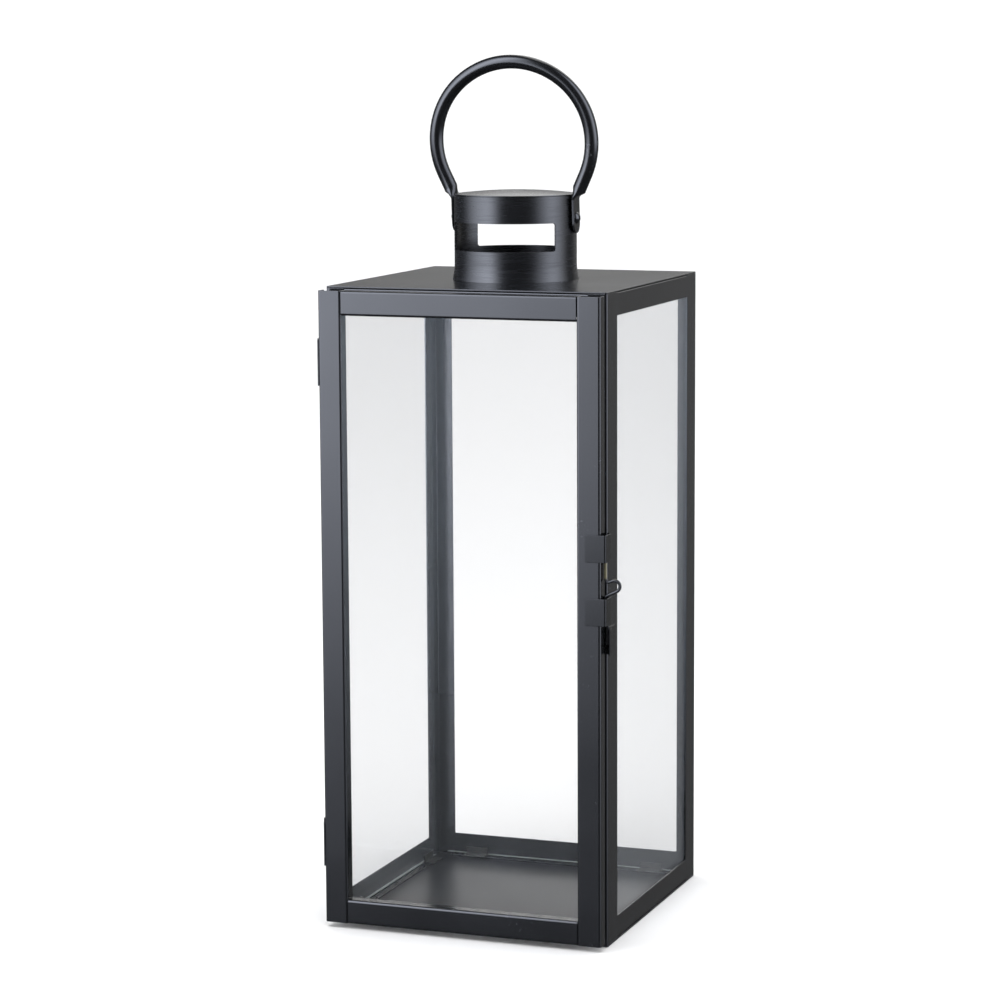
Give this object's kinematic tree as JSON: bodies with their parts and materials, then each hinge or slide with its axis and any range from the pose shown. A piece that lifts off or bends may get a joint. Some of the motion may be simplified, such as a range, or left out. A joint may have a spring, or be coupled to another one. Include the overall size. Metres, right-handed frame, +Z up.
{
  "type": "candle lantern",
  "caption": "Square glazed candle lantern in folded black sheet steel, with a hinged glass door, a sliding wire latch, a round vented chimney and a swinging tube handle.",
  "frame": {"origin": "middle of the case's footprint without the door, on the underside of the base plate", "axes": "+Z up, -Y to the front where the door is, -X to the side of the hinges"},
  "size_m": [0.1962, 0.1938, 0.5354],
  "materials": {
    "case_steel": "satin black powder coat on sheet steel",
    "handle_steel": "satin black powder coat on bent steel tube",
    "fittings": "satin black paint on pressed steel",
    "latch_wire": "worn black coat over drawn wire",
    "clear_glass": "clear float glass with a faint green edge"
  },
  "bodies": {
    "lantern": {"base_plate": "case_steel", "post_front_left": "case_steel", "post_front_right": "case_steel", "post_back_left": "case_steel", "post_back_right": "case_steel", "sill_front": "case_steel", "bottom_rail_left": "case_steel", "bottom_rail_right": "case_steel", "bottom_rail_back": "case_steel", "header_front": "case_steel", "top_rail_left": "case_steel", "top_rail_right": "case_steel", "top_rail_back": "case_steel", "roof_plate": "case_steel", "chimney_collar": "case_steel", "chimney_cap": "case_steel", "pane_left": "clear_glass", "pane_right": "clear_glass", "pane_back": "clear_glass", "pane_tabs_left": "fittings", "pane_tabs_right": "fittings", "pane_tabs_back": "fittings", "handle_rivet_left": "fittings", "handle_rivet_right": "fittings", "upper_hinge_case_leaf": "fittings", "upper_hinge_pin": "fittings", "lower_hinge_case_leaf": "fittings", "lower_hinge_pin": "fittings", "latch_keeper": "fittings"},
    "door": {"door_stile_left": "case_steel", "door_stile_right": "case_steel", "door_rail_top": "case_steel", "door_rail_bottom": "case_steel", "door_pane": "clear_glass", "door_pane_tabs": "fittings", "upper_hinge_door_leaf": "fittings", "lower_hinge_door_leaf": "fittings", "latch_clip_upper": "fittings", "latch_clip_lower": "fittings"},
    "carry_handle": {"handle": "handle_steel"},
    "bolt": {"latch_bolt": "latch_wire"}
  },
  "joints": [
    {"name": "door_hinge", "type": "hinge", "parent": "lantern", "child": "door", "pos_m": [-0.0924, -0.0925, 0.2], "axis": [0, 0, -1], "range_deg": [0, 195]},
    {"name": "handle_swing", "type": "hinge", "parent": "lantern", "child": "carry_handle", "pos_m": [0, 0, 0.4353], "axis": [1, 0, 0], "range_deg": [-114, 106]},
    {"name": "bolt_slide", "type": "slide", "parent": "door", "child": "bolt", "axis": [0, 0, 1], "range_m": [0, 0.0108]}
  ]
}
